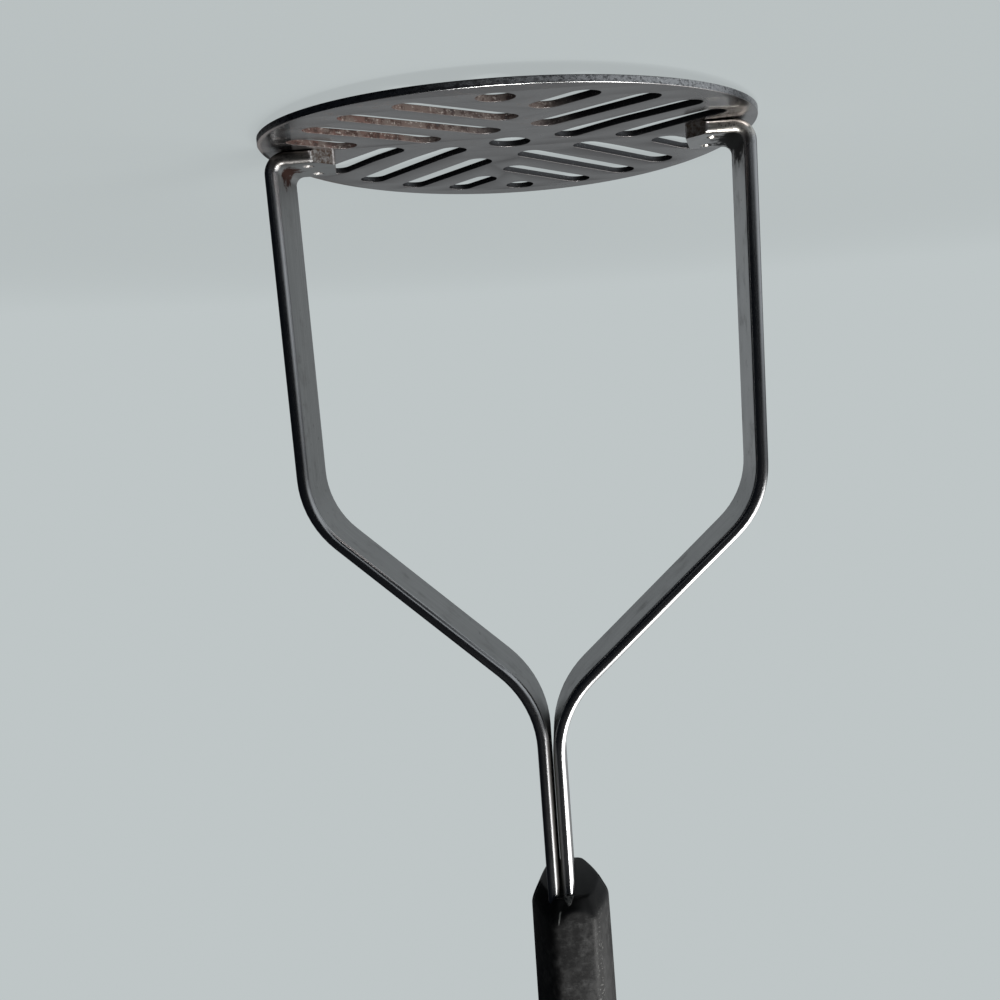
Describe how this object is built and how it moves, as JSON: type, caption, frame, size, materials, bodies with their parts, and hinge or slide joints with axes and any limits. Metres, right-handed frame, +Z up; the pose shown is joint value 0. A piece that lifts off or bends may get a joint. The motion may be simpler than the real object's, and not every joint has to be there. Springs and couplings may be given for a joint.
{
  "type": "potato masher",
  "caption": "Hand masher: a round slotted steel plate welded to two bent flat straps that run up into a black moulded handle.",
  "frame": {"origin": "middle of the underside of the mashing plate, on the surface that the masher stands on", "axes": "+Z up along the straps and handle, +X from the left strap to the right strap, front is -Y"},
  "size_m": [0.082, 0.082, 0.2444],
  "materials": {
    "plate_steel": "worn, finely scratched, rust stains in the slots",
    "strap_steel": "worn polish, brighter on the rounded edges",
    "weld_steel": "pressed bright spots",
    "handle_plastic": "black moulded, scuffed"
  },
  "bodies": {
    "root": {"mashing_plate": "plate_steel", "left_strap": "strap_steel", "right_strap": "strap_steel", "left_spot_welds": "weld_steel", "right_spot_welds": "weld_steel", "handle": "handle_plastic"}
  },
  "joints": []
}
